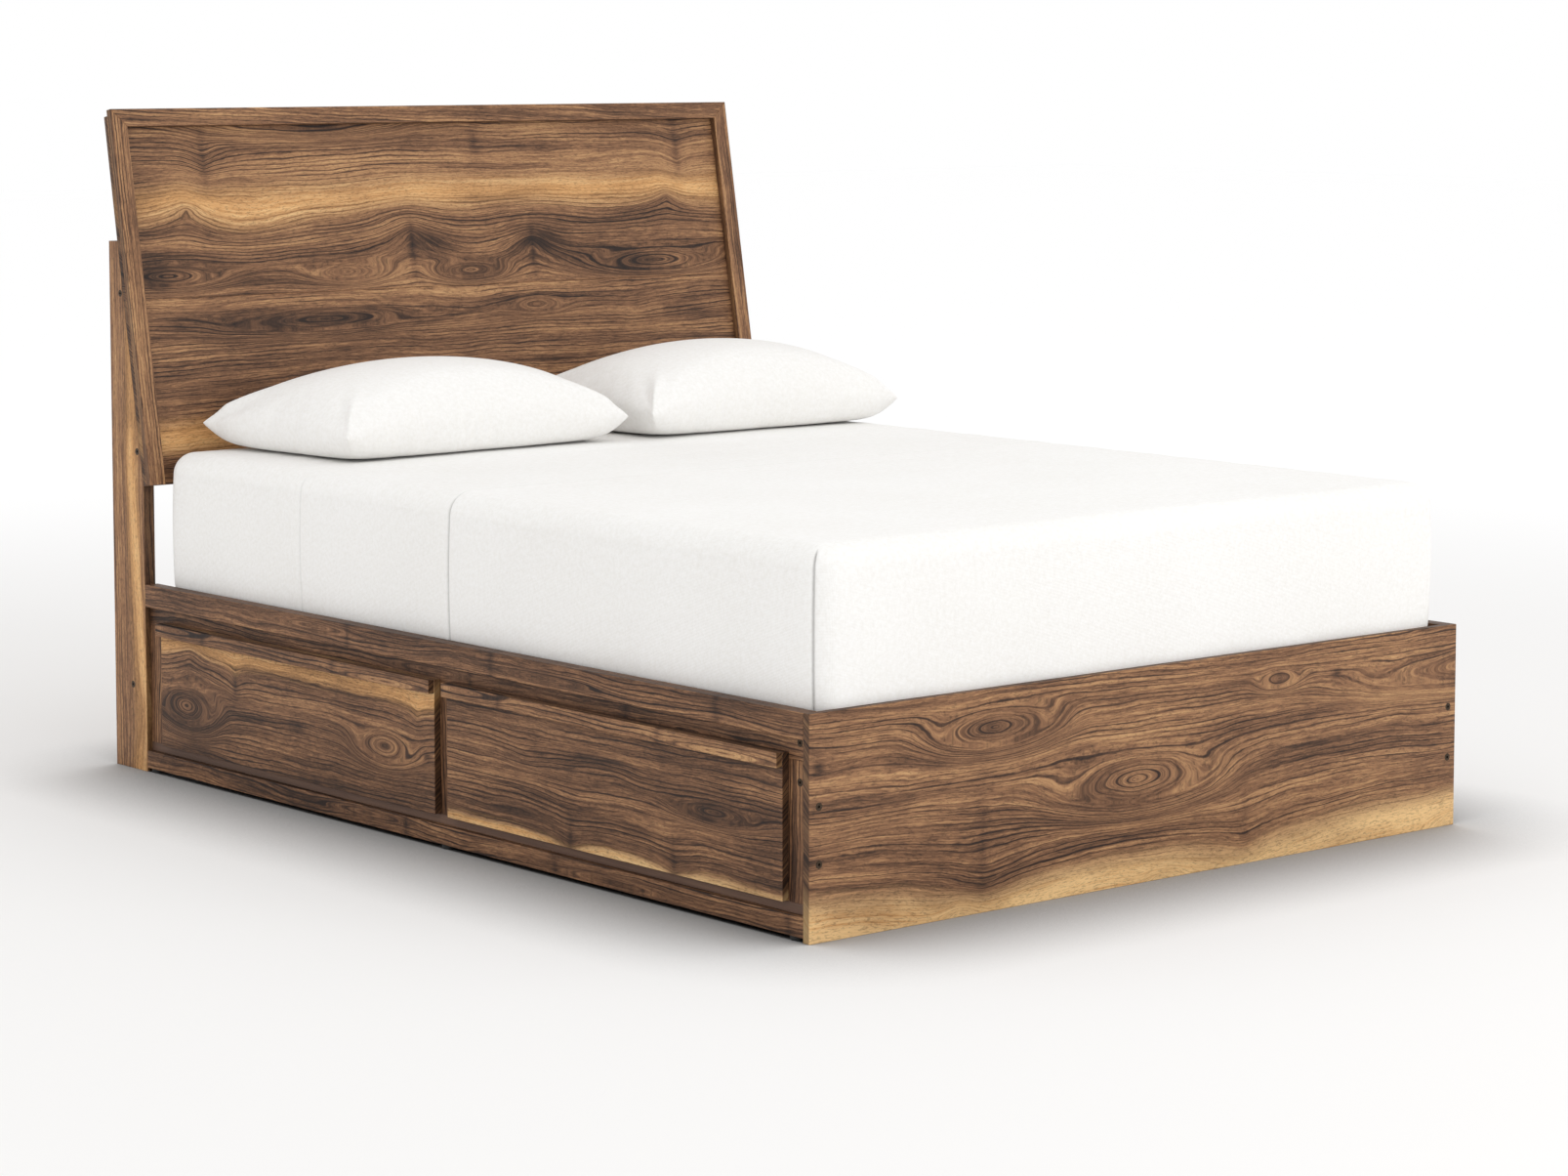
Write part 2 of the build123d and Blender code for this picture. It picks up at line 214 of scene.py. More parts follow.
def figuredWalnut(name, look):
    # Laminate printed with flat-sawn walnut and pressed satin: dark growth lines flow round eyes and crests,
    # pale sapwood runs in bands, and fine dark pores break it up.
    # look: centre, along and across set the board; slant tilts the lines; lift and sapLift brighten them.
    # A bump is (along, across, half length, half width, rise, power), a smudge the same with a darkness for
    # the rise, an eye (along, across, half length, half width), a sap band (low, high, softness, strength)
    material, tree, shader = newMaterial(name)
    along, across = Vector(look["along"]), Vector(look["across"])
    facing = along.cross(across)
    turn = Matrix((along, across, facing)).transposed().to_euler()
    coords = addNode(tree, "TexCoord", {}, {})
    local = addNode(tree, "Mapping", {"vector_type": "TEXTURE"},
                    {"Vector": coords["Object"], "Location": look["centre"], "Rotation": turn})[0]
    u, v, w = addNode(tree, "SeparateXYZ", {}, {0: local})
    seed = look["seed"]

    def stretched(uScale, heightScale, height, shift, detail, rough=0.55):
        # noise on (along, height field) stretched so that streaks follow the contours
        longPart = addNode(tree, "Math", {"operation": "MULTIPLY"}, {0: u, 1: uScale})[0]
        highPart = addNode(tree, "Math", {"operation": "MULTIPLY"}, {0: height, 1: heightScale})[0]
        place = addNode(tree, "CombineXYZ", {}, {0: longPart, 1: highPart, 2: seed + shift})[0]
        return addNode(tree, "TexNoise", {"noise_dimensions": "3D"},
                       {"Vector": place, "Scale": 1.0, "Detail": detail, "Roughness": rough})[0]

    def addBells(total, bells):
        # adds each bell: rise times exp of minus the distance from its middle, in its own widths, to a power
        for uMid, vMid, uHalf, vHalf, rise, power in bells:
            spot = addNode(tree, "Mapping", {"vector_type": "TEXTURE"},
                           {"Vector": local, "Location": (uMid, vMid, 0),
                            "Scale": (uHalf, vHalf, through)})[0]
            square = addNode(tree, "VectorMath", {"operation": "DOT_PRODUCT"}, {0: spot, 1: spot})["Value"]
            shaped = addNode(tree, "Math", {"operation": "POWER"}, {0: square, 1: power / 2})[0]
            fall = addNode(tree, "Math", {"operation": "MULTIPLY"}, {0: shaped, 1: -1.0})[0]
            bell = addNode(tree, "Math", {"operation": "EXPONENT"}, {0: fall})[0]
            total = addNode(tree, "Math", {"operation": "MULTIPLY_ADD"}, {0: bell, 1: rise, 2: total})[0]
        return total

    # height field: the distance across, plus the edge's depth, the slant, two warps and the bumps
    height = addNode(tree, "Math", {"operation": "MULTIPLY_ADD"}, {0: w, 1: walnut["edgeTurn"], 2: v})[0]
    height = addNode(tree, "Math", {"operation": "MULTIPLY_ADD"},
                     {0: u, 1: look.get("slant", 0.0), 2: height})[0]
    warps = ((1.5, 5.0, 3.1, 2.0, walnut["longWarp"] * look.get("warp", 1.0)),
             (8.0, 30.0, 9.7, 3.0, walnut["shortWarp"]))
    for uScale, vScale, shift, detail, size in warps:
        noise = stretched(uScale, vScale, v, shift, detail)
        centred = addNode(tree, "Math", {"operation": "SUBTRACT"}, {0: noise, 1: 0.5})[0]
        height = addNode(tree, "Math", {"operation": "MULTIPLY_ADD"}, {0: centred, 1: size * 2, 2: height})[0]
    height = addBells(height, look.get("bumps", ()))
    # eyes: inside each one the field turns into the distance from its middle, in its own widths, levelling
    # off past its rim, so that the growth lines close into nested ovals; exp of minus a power of that
    # distance blends it into the field outside
    ripple = stretched(6.0, 15.0, v, 61.0, 2.0)
    ripple = addNode(tree, "Math", {"operation": "SUBTRACT"}, {0: ripple, 1: 0.5})[0]
    fadeStrength, fadePower = walnut["eyeFade"]
    for uMid, vMid, uHalf, vHalf in look.get("eyes", ()):
        spot = addNode(tree, "Mapping", {"vector_type": "TEXTURE"},
                       {"Vector": local, "Location": (uMid, vMid, 0), "Scale": (uHalf, vHalf, through)})[0]
        away = addNode(tree, "VectorMath", {"operation": "LENGTH"}, {0: spot})["Value"]
        away = addNode(tree, "Math", {"operation": "MULTIPLY_ADD"},
                       {0: ripple, 1: walnut["eyeRipple"], 2: away})[0]
        away = addNode(tree, "Math", {"operation": "MAXIMUM"}, {0: away, 1: 0.0})[0]
        capped = addNode(tree, "Math", {"operation": "SMOOTH_MIN"}, {0: away, 1: 1.1, 2: 0.3})[0]
        target = addNode(tree, "Math", {"operation": "MULTIPLY_ADD"},
                         {0: capped, 1: vHalf * walnut["eyeRings"], 2: vMid})[0]
        fall = addNode(tree, "Math", {"operation": "POWER"}, {0: away, 1: fadePower})[0]
        fall = addNode(tree, "Math", {"operation": "MULTIPLY"}, {0: fall, 1: -fadeStrength})[0]
        weight = addNode(tree, "Math", {"operation": "EXPONENT"}, {0: fall})[0]
        change = addNode(tree, "Math", {"operation": "SUBTRACT"}, {0: target, 1: height})[0]
        height = addNode(tree, "Math", {"operation": "MULTIPLY_ADD"}, {0: change, 1: weight, 2: height})[0]

    # streaks: noises that run along the height field, each about its own middle, added by their shares
    density = look.get("density", 1.0)
    bands = stretched(1.1, walnut["bands"] * density, height, 11.3, 4.0, 0.6)
    lines = stretched(3.2, walnut["lines"] * density, height, 17.9, 3.0, 0.7)
    fibres = stretched(30.0, walnut["fibres"], height, 23.7, 3.0, 0.7)
    blotch = stretched(4.0, 7.0, v, 31.1, 2.0)
    value = 0.5
    shares = ((bands, walnut["bandShare"] * look.get("bandShare", 1.0)),
              (lines, walnut["lineShare"] * look.get("lineShare", 1.0)),
              (fibres, walnut["fibreShare"]), (blotch, walnut["blotchShare"]))
    for noise, share in shares:
        centred = addNode(tree, "Math", {"operation": "SUBTRACT"}, {0: noise, 1: 0.5})[0]
        value = addNode(tree, "Math", {"operation": "MULTIPLY_ADD"}, {0: centred, 1: share, 2: value})[0]
    value = addNode(tree, "Math", {"operation": "ADD"}, {0: value, 1: look.get("lift", 0.0)})[0]

    # growth lines: thin dark crests of a sine of the height field, its phase shifted by the broad bands,
    # stronger and weaker from place to place
    phase = addNode(tree, "Math", {"operation": "MULTIPLY"}, {0: bands, 1: walnut["ringDrift"]})[0]
    phase = addNode(tree, "Math", {"operation": "MULTIPLY_ADD"},
                    {0: height, 1: 2 * math.pi * walnut["rings"] * density, 2: phase})[0]
    wave = addNode(tree, "Math", {"operation": "SINE"}, {0: phase})[0]
    crest = addNode(tree, "MapRange", {"interpolation_type": "SMOOTHSTEP"},
                    {0: wave, 1: 0.5, 2: 1.0, 3: 0.0, 4: walnut["ringShare"] * look.get("ring", 1.0)})[0]
    patchy = stretched(2.2, 40.0 * density, height, 41.3, 2.0)
    patch = addNode(tree, "MapRange", {"interpolation_type": "SMOOTHSTEP"},
                    {0: patchy, 1: 0.38, 2: 0.62, 3: 0.15, 4: 1.0})[0]
    ridge = addNode(tree, "Math", {"operation": "MULTIPLY"}, {0: crest, 1: patch})[0]
    heartValue = addNode(tree, "Math", {"operation": "SUBTRACT"}, {0: value, 1: ridge})[0]
    darker = [(*smudge[:4], -smudge[4], smudge[5]) for smudge in look.get("smudges", ())]
    heartValue = addBells(heartValue, darker)
    colour = rampColours(tree, heartValue, walnut["heart"])

    # sapwood bands, ragged at their edges
    ragged = addNode(tree, "Math", {"operation": "SUBTRACT"}, {0: lines, 1: 0.5})[0]
    sapHeight = addNode(tree, "Math", {"operation": "MULTIPLY_ADD"},
                        {0: ragged, 1: walnut["sapRagged"], 2: height})[0]
    sapValue = addNode(tree, "Math", {"operation": "MULTIPLY_ADD"},
                       {0: ridge, 1: -walnut["sapRings"], 2: value})[0]
    sapValue = addNode(tree, "Math", {"operation": "ADD"}, {0: sapValue, 1: look.get("sapLift", 0.0)})[0]
    sapColour = rampColours(tree, sapValue, walnut["sap"])
    faded = addNode(tree, "MapRange", {}, {0: blotch, 1: 0.35, 2: 0.6, 3: 0.65, 4: 1.0})[0]
    for low, high, soft, strength in look.get("sap", ()):
        rising = addNode(tree, "MapRange", {"interpolation_type": "SMOOTHSTEP"},
                         {0: sapHeight, 1: low - soft, 2: low + soft, 3: 0.0, 4: 1.0})[0]
        falling = addNode(tree, "MapRange", {"interpolation_type": "SMOOTHSTEP"},
                          {0: sapHeight, 1: high - soft, 2: high + soft, 3: strength, 4: 0.0})[0]
        share = addNode(tree, "Math", {"operation": "MULTIPLY"}, {0: rising, 1: falling})[0]
        share = addNode(tree, "Math", {"operation": "MULTIPLY"}, {0: share, 1: faded})[0]
        colour = addNode(tree, "Mix", {"data_type": "RGBA"}, {0: share, 6: colour, 7: sapColour})[2]

    # pores: short dark dashes about 10 mm long and 2.5 mm wide, coarser than real ones so that they show
    pores = stretched(95.0, 400.0, height, 53.9, 2.0, 0.7)
    dash = addNode(tree, "MapRange", {"interpolation_type": "SMOOTHSTEP"},
                   {0: pores, 1: 0.50, 2: 0.66, 3: 1.0, 4: walnut["poreShade"]})[0]
    # the edge band shows wherever the surface doesn't face as the board does
    facingNow = addNode(tree, "VectorMath", {"operation": "DOT_PRODUCT"},
                        {0: coords["Normal"], 1: tuple(facing)})["Value"]
    facingSize = addNode(tree, "Math", {"operation": "ABSOLUTE"}, {0: facingNow})[0]
    banding = addNode(tree, "MapRange", {"interpolation_type": "SMOOTHSTEP"},
                      {0: facingSize, 1: 0.3, 2: 0.6, 3: look.get("edge", walnut["edge"]), 4: 1.0})[0]
    shade = addNode(tree, "Math", {"operation": "MULTIPLY"}, {0: dash, 1: banding})[0]
    finalColour = addNode(tree, "VectorMath", {"operation": "SCALE"}, {0: colour, "Scale": shade})[0]
    tree.links.new(finalColour, shader.inputs["Base Color"])
    rough, smooth = walnut["gloss"]
    gloss = addNode(tree, "MapRange", {}, {0: lines, 1: 0.2, 2: 0.8, 3: rough, 4: smooth})[0]
    tree.links.new(gloss, shader.inputs["Roughness"])
    grainHeight = addNode(tree, "Math", {"operation": "MULTIPLY_ADD"}, {0: value, 1: 0.4, 2: dash})[0]
    relief = addNode(tree, "Bump", {}, {"Strength": walnut["bump"], "Distance": walnut["bumpDepth"],
                                        "Height": grainHeight})[0]
    tree.links.new(relief, shader.inputs["Normal"])
    shader.inputs["IOR"].default_value = walnut["ior"]
    shader.inputs["Specular IOR Level"].default_value = walnut["specular"]
    return material


def middle(nodeName):
    # the centre of a node's box at rest
    low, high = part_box(nodeName)
    return (low + high) / 2


lean = math.radians(10.07)  # the headboard's
upSlope = (0.0, math.sin(lean), math.cos(lean))
alongX, alongY, upward = (1.0, 0.0, 0.0), (0.0, 1.0, 0.0), (0.0, 0.0, 1.0)

# eyes, bumps, smudges and bands are in metres from each board's middle, along the grain and across it
footboardLook = {
    "along": alongX, "across": upward, "seed": 1.7, "warp": 0.8,
    "eyes": ((-0.044, -0.005, 0.175, 0.050), (-0.385, 0.125, 0.130, 0.038), (0.317, 0.137, 0.050, 0.018),
             (0.86, 0.112, 0.27, 0.036)),
    "bumps": ((-0.414, -0.15, 0.13, 0.12, 0.035, 1.2), (0.229, -0.15, 0.12, 0.10, 0.030, 1.2),
              (-0.462, -0.20, 0.04, 0.03, -0.04, 2.0), (0.024, -0.195, 0.04, 0.02, -0.03, 2.0),
              (0.80, -0.185, 0.06, 0.03, -0.05, 2.0)),
    "smudges": ((0.373, 0.008, 0.10, 0.008, 0.25, 2.0), (0.469, 0.131, 0.012, 0.008, 0.35, 2.0),
                (0.317, 0.137, 0.014, 0.012, 0.25, 2.0), (-0.414, -0.08, 0.012, 0.10, 0.14, 1.4),
                (0.229, -0.10, 0.012, 0.07, 0.12, 1.4), (-0.78, 0.10, 0.012, 0.01, 0.4, 2.0),
                (-0.389, 0.125, 0.02, 0.01, 0.2, 2.0), (-0.80, -0.05, 0.03, 0.02, 0.2, 2.0)),
    "sap": ((-0.4, -0.130, 0.030, 0.95),), "sapLift": 0.36,
    "lift": 0.14,
}
upperPlankLook = {
    "along": alongX, "across": upSlope, "seed": 4.2, "warp": 0.6,
    "eyes": ((-0.70, -0.142, 0.125, 0.024), (0.56, -0.15, 0.15, 0.026), (-0.26, -0.148, 0.085, 0.020),
             (0.055, -0.155, 0.075, 0.020), (-0.331, 0.190, 0.22, 0.040)),
    "bumps": ((-0.638, -0.01, 0.055, 0.05, -0.042, 1.0), (0.613, -0.01, 0.055, 0.05, -0.042, 1.0),
              (-0.499, -0.05, 0.12, 0.06, 0.022, 2.0), (-0.586, 0.085, 0.04, 0.07, 0.026, 1.1),
              (0.655, 0.08, 0.04, 0.07, 0.026, 1.1), (-0.089, -0.07, 0.07, 0.06, -0.06, 1.1),
              (0.227, -0.10, 0.06, 0.05, -0.05, 1.1)),
    "smudges": ((-0.586, 0.10, 0.010, 0.07, 0.20, 1.3), (0.655, 0.10, 0.010, 0.07, 0.20, 1.3),
                (-0.04, -0.09, 0.06, 0.03, 0.28, 1.8), (0.27, -0.09, 0.045, 0.025, 0.26, 1.8),
                (-0.089, -0.10, 0.008, 0.05, 0.25, 1.4), (0.227, -0.11, 0.008, 0.05, 0.25, 1.4),
                (-0.72, -0.145, 0.05, 0.03, 0.22, 2.0), (0.50, -0.15, 0.05, 0.025, 0.2, 2.0),
                (-0.33, 0.155, 0.10, 0.020, 0.22, 2.0), (0.10, 0.12, 0.012, 0.04, 0.2, 1.4),
                (0.0, 0.13, 3.0, 0.08, -0.10, 2.0), (0.0, -0.10, 3.0, 0.06, 0.04, 2.0)),
    "sap": ((-0.012, 0.036, 0.032, 0.92),), "sapLift": 0.04,
    "lift": 0.07,
}
lowerPlankLook = {
    "along": alongX, "across": upSlope, "seed": 8.6, "warp": 0.6,
    "eyes": ((-0.33, 0.131, 0.24, 0.026), (0.223, 0.140, 0.07, 0.018)),
    "bumps": ((0.02, 0.13, 0.14, 0.045, 0.020, 1.6), (0.50, 0.12, 0.12, 0.05, 0.018, 1.1)),
    "smudges": ((-0.34, 0.130, 0.20, 0.018, 0.30, 2.0), (0.65, 0.11, 0.08, 0.02, 0.25, 2.0),
                (-0.68, 0.135, 0.05, 0.02, 0.2, 2.0), (0.0, 0.176, 3.0, 0.014, -0.22, 2.0)),
    "sap": ((-0.11, -0.055, 0.018, 0.85),),
    "lift": 0.07,
}
frameMemberLook = {"warp": 0.5, "lineShare": 1.3, "density": 1.2, "lift": 0.10, "ring": 0.8, "edge": 0.62,
                   "bandShare": 0.7}
postLook = {
    "along": upward, "across": alongY, "warp": 0.5, "ring": 0.7,
    "bumps": ((-0.42, -0.05, 0.20, 0.05, 0.03, 1.6),),
    "sap": ((-0.026, 0.016, 0.014, 0.85),), "lift": 0.08,
}
sideBoardLook = {
    "across": upward, "warp": 0.8, "lineShare": 1.1, "lift": -0.01, "edge": 0.75,
    "eyes": ((-0.42, 0.006, 0.12, 0.009), (0.33, -0.006, 0.13, 0.008)),
    "smudges": ((-0.30, 0.0, 0.008, 0.05, 0.22, 1.4), (0.16, 0.0, 0.010, 0.05, 0.2, 1.4),
                (0.80, 0.0, 0.010, 0.05, 0.2, 1.4)),
}
headDrawerLook = {
    "across": upward, "seed": 21.4, "warp": 0.6,
    "eyes": ((-0.381, -0.031, 0.10, 0.042), (0.314, -0.019, 0.085, 0.032)),
    "bumps": ((-0.367, 0.06, 0.05, 0.05, -0.02, 1.2), (-0.20, 0.045, 0.03, 0.06, 0.018, 1.1),
              (0.42, 0.05, 0.03, 0.05, 0.015, 1.1)),
    "smudges": ((-0.381, -0.03, 0.06, 0.03, -0.12, 2.0), (0.314, -0.019, 0.014, 0.010, 0.12, 2.0),
                (-0.20, 0.04, 0.008, 0.03, 0.25, 1.4), (-0.367, 0.05, 0.07, 0.010, 0.2, 2.0),
                (0.014, -0.022, 0.03, 0.012, 0.25, 2.0), (-0.346, -0.11, 0.06, 0.012, 0.2, 2.0),
                (0.454, -0.021, 0.012, 0.006, 0.35, 2.0)),
    "sap": ((0.074, 0.116, 0.012, 0.9),), "sapLift": 0.08, "lift": 0.01,
}
footDrawerLook = {
    "across": upward, "seed": 27.9, "warp": 0.6,
    "bumps": ((-0.103, -0.115, 0.07, 0.09, 0.020, 1.1), (0.189, -0.122, 0.07, 0.09, 0.022, 1.1),
              (-0.03, 0.035, 0.10, 0.02, -0.012, 1.4), (-0.238, 0.02, 0.07, 0.03, 0.012, 1.6)),
    "eyes": ((0.295, -0.002, 0.10, 0.018),),
    "smudges": ((-0.103, -0.10, 0.008, 0.03, 0.25, 1.4), (0.189, -0.11, 0.008, 0.03, 0.2, 1.4),
                (0.00, 0.045, 0.09, 0.008, 0.25, 2.0), (0.289, -0.002, 0.05, 0.02, 0.25, 2.0),
                (-0.30, -0.075, 0.20, 0.012, 0.25, 2.0), (0.10, -0.03, 0.10, 0.006, 0.15, 2.0)),
    "sap": ((-0.4, -0.108, 0.010, 0.95),), "sapLift": 0.3, "lift": -0.01,
}


printShift = 0.19           # metres along the print from one rail to the next
rightSeed = 3.3             # the right side's drawers have another cut of the same print
pullLift = {"head": 0.02, "foot": 0.14}          # the foot drawers' pulls are cut from a paler board


def dressWalnut():
    # every laminated board gets its own figure, placed from its CAD box
    def dress(nodeName, look, **changes):
        own = {**look, **changes, "centre": tuple(middle(nodeName))}
        assign(nodeName, figuredWalnut("walnut laminate " + nodeName.replace("_", " "), own))

    dress("footboard", footboardLook)
    dress("headboard_plank_upper", upperPlankLook)
    dress("headboard_plank_lower", lowerPlankLook)
    dress("headboard_top_rail", frameMemberLook, along=alongX, across=upSlope, seed=12.2, slant=0.05)
    for side, sign, seed in (("left", -1, 31.0), ("right", 1, 47.0)):
        outward = (0.0, float(sign), 0.0)        # along the side, left to right as seen from outside
        dress("headboard_stile_" + side, frameMemberLook, along=upSlope, across=(-1.0, 0.0, 0.0), seed=seed)
        dress("post_" + side, postLook, seed=seed + 2)
        for number, part in enumerate(("side_rail_", "base_rail_", "frame_rail_")):
            # the printed figure starts at another place on each board
            moved = {key: tuple((spot[0] + printShift * number, *spot[1:]) for spot in sideBoardLook[key])
                     for key in ("eyes", "smudges")}
            dress(part + side, {**sideBoardLook, **moved}, along=outward, seed=seed + 3 + number)
        dress("face_stiles_" + side, sideBoardLook, along=upward, across=alongY, seed=seed + 6)
        for place, look in (("head", headDrawerLook), ("foot", footDrawerLook)):
            drawer = f"drawer_{side}_{place}"
            shift = 0.0 if side == "left" else rightSeed
            dress(drawer + "_front", look, along=outward, seed=look["seed"] + shift)
            dress(drawer + "_pull", sideBoardLook, along=outward, seed=seed + 12,
                  lift=pullLift[place], edge=0.5)


dressWalnut()
print("walnut laminate made")


def plainBoard(name, look):
    # Melamine or sawn softwood: a quiet straight grain with little contrast, matt from the saw or the press
    material, tree, shader = newMaterial(name)
    coords = addNode(tree, "TexCoord", {}, {})["Object"]
    stretch = addNode(tree, "Mapping", {}, {"Vector": coords, "Scale": look["grain"]})[0]
    grain = addNode(tree, "TexNoise", {},
                    {"Vector": stretch, "Scale": 1.0, "Detail": 5.0, "Roughness": 0.65})[0]
    tree.links.new(rampColours(tree, grain, look["stops"]), shader.inputs["Base Color"])
    relief = addNode(tree, "Bump", {}, {"Strength": 0.2, "Distance": 0.0004, "Height": grain})[0]
    tree.links.new(relief, shader.inputs["Normal"])
    shader.inputs["Roughness"].default_value = look["roughness"]
    return material


pineStops = ((0.25, "#b98e5c"), (0.5, "#d2ab78"), (0.75, "#e2c49a"))
birchStops = ((0.25, "#a98a66"), (0.5, "#bfa07a"), (0.75, "#d2b791"))
drawerNames = [f"drawer_{side}_{place}" for side in ("left", "right") for place in ("foot", "head")]
# grain is waves per metre along X, Y and Z
boardLooks = {
    "melamine faced chipboard": {
        "grain": (60.0, 2.0, 60.0), "roughness": 0.6,
        "stops": ((0.25, "#4b3729"), (0.5, "#64493a"), (0.75, "#7d5f4a")),
        "nodes": ["cabinet_bottom_left", "cabinet_bottom_right", "cabinet_back_left", "cabinet_back_right",
                  "cabinet_panels_left", "cabinet_panels_right", "headboard_cross_rail"]},
    "sawn pine across": {
        "grain": (2.0, 90.0, 90.0), "roughness": 0.7, "stops": pineStops,
        "nodes": ["slats", "runner_spacers"]},
    "sawn pine along": {
        "grain": (90.0, 2.0, 90.0), "roughness": 0.7, "stops": pineStops,
        "nodes": ["slat_cleats", "centre_beam"]},
    "sawn pine upright": {
        "grain": (90.0, 90.0, 2.0), "roughness": 0.7, "stops": pineStops,
        "nodes": ["headboard_battens", "centre_legs"]},
    "birch print board across": {
        "grain": (2.0, 70.0, 70.0), "roughness": 0.55, "stops": birchStops,
        "nodes": [name + "_box_sides" for name in drawerNames]},
    "birch print board along": {
        "grain": (70.0, 2.0, 70.0), "roughness": 0.55, "stops": birchStops,
        "nodes": [name + part for name in drawerNames for part in ("_box_back", "_box_bottom")]},
}


def mottledMetal(name, look):
    # Pressed steel or moulded plastic: zinc spangle, bronze lacquer or the mould's own texture shows as soft
    # cloudy patches in colour and gloss
    material, tree, shader = newMaterial(name)
    coords = addNode(tree, "TexCoord", {}, {})["Object"]
    cloud = addNode(tree, "TexNoise", {},
                    {"Vector": coords, "Scale": look["patches"], "Detail": 4.0, "Roughness": 0.6})[0]
    tree.links.new(rampColours(tree, cloud, look["stops"]), shader.inputs["Base Color"])
    smooth, rough = look["gloss"]
    gloss = addNode(tree, "MapRange", {}, {0: cloud, 1: 0.3, 2: 0.7, 3: smooth, 4: rough})[0]
    tree.links.new(gloss, shader.inputs["Roughness"])
    shader.inputs["Metallic"].default_value = look["metallic"]
    return material


# patches is cloudy spots per metre
metalLooks = {
    "zinc plated steel": {
        "patches": 90.0, "gloss": (0.28, 0.42), "metallic": 1.0,
        "stops": ((0.3, "#9a9c9e"), (0.7, "#c2c4c6")),
        "nodes": ["cabinet_runners", "corner_brackets"] + [name + "_runners" for name in drawerNames]},
    "bronzed steel": {
        "patches": 500.0, "gloss": (0.35, 0.5), "metallic": 0.9,
        "stops": ((0.3, "#33291f"), (0.7, "#53463a")),
        "nodes": ["connector_screws"]},
    "moulded black plastic": {
        "patches": 900.0, "gloss": (0.55, 0.7), "metallic": 0.0,
        "stops": ((0.3, "#141414"), (0.7, "#1e1e1e")),
        "nodes": ["glides"]},
}
for makeMaterial, looks in ((plainBoard, boardLooks), (mottledMetal, metalLooks)):
    for materialName, materialLook in looks.items():
        made = makeMaterial(materialName, materialLook)
        for nodeName in materialLook["nodes"]:
            assign(nodeName, made)
print("boards, metal and plastic made")


cotton = {
    "colour": "#f2f1ef", "shadow": "#eae8e4",
    "thread": 0.0012,       # metres between threads, coarser than real ones so that they show
    "fleck": 0.008,         # metres across a soft fleck in the yarn
    "seamPaintedShade": 0.62, "weaveDepth": 0.0004,
    "roughness": 0.85, "sheen": 0.15, "sheenRoughness": 0.5, "specular": 0.3,
}


def wovenCotton(name):
    # Plain woven cotton: a fine over-and-under weave, soft flecks in the yarn, a faint sheen at the edge of
    # view and painted shade darkening the colour in the seam grooves. The weave is the product of two sines
    # of the place, plus the third
    material, tree, shader = newMaterial(name)
    coords = addNode(tree, "TexCoord", {}, {})["Object"]
    fleck = addNode(tree, "TexNoise", {},
                    {"Vector": coords, "Scale": 1 / cotton["fleck"], "Detail": 3.0, "Roughness": 0.7})[0]
    cloud = addNode(tree, "TexNoise", {}, {"Vector": coords, "Scale": 3.0, "Detail": 2.0})[0]
    mixed = addNode(tree, "Math", {"operation": "MULTIPLY_ADD"}, {0: cloud, 1: 0.3, 2: fleck})[0]
    colour = rampColours(tree, mixed, ((0.40, cotton["shadow"]), (0.80, cotton["colour"])))
    # painted shade: where the seam mask is set, the colour darkens in place of the shade in the seam grooves
    seam = addNode(tree, "Attribute", {"attribute_name": "seam"}, {})["Fac"]
    seamPaintedShadeFactor = addNode(tree, "MapRange", {}, {0: seam, 1: 0.0, 2: 1.0, 3: 1.0, 4: cotton["seamPaintedShade"]})[0]
    seamed = addNode(tree, "VectorMath", {"operation": "SCALE"}, {0: colour, "Scale": seamPaintedShadeFactor})[0]
    tree.links.new(seamed, shader.inputs["Base Color"])
    threads = []
    for axis in list(addNode(tree, "SeparateXYZ", {}, {0: coords})):
        turns = addNode(tree, "Math", {"operation": "MULTIPLY"}, {0: axis, 1: math.pi / cotton["thread"]})[0]
        threads.append(addNode(tree, "Math", {"operation": "SINE"}, {0: turns})[0])
    weave = addNode(tree, "Math", {"operation": "MULTIPLY_ADD"}, dict(enumerate(threads)))[0]
    yarn = addNode(tree, "Math", {"operation": "MULTIPLY_ADD"}, {0: fleck, 1: 2.0, 2: weave})[0]
    relief = addNode(tree, "Bump", {},
                     {"Strength": 0.25, "Distance": cotton["weaveDepth"], "Height": yarn})[0]
    tree.links.new(relief, shader.inputs["Normal"])
    shader.inputs["Roughness"].default_value = cotton["roughness"]
    shader.inputs["Sheen Weight"].default_value = cotton["sheen"]
    shader.inputs["Sheen Roughness"].default_value = cotton["sheenRoughness"]
    shader.inputs["Specular IOR Level"].default_value = cotton["specular"]
    return material


def meshPiece(name, points, faces, material, seam=None):
    # one smooth mesh object from whole arrays, with its doubles merged and its faces turned outwards
    mesh = bpy.data.meshes.new(name)
    mesh.from_pydata(points.reshape(-1, 3).tolist(), [], faces.reshape(-1, 4).tolist())
    if seam is not None:
        layer = mesh.attributes.new("seam", "FLOAT", "POINT")
        layer.data.foreach_set("value", seam.astype(np.float32).ravel())
    work = bmesh.new()
    work.from_mesh(mesh)
    bmesh.ops.remove_doubles(work, verts=work.verts, dist=2e-5)
    bmesh.ops.recalc_face_normals(work, faces=work.faces)
    work.to_mesh(mesh)
    work.free()
    mesh.polygons.foreach_set("use_smooth", np.ones(len(mesh.polygons), bool))
    mesh.materials.append(material)
    piece = bpy.data.objects.new(name, mesh)
    bpy.context.scene.collection.objects.link(piece)
    return piece


def gridFaces(rows, columns, start=0):
    # the four corners of every cell in a grid of points, rows by columns
    index = np.arange(rows * columns).reshape(rows, columns) + start
    return np.stack([index[:-1, :-1], index[1:, :-1], index[1:, 1:], index[:-1, 1:]], -1).reshape(-1, 4)


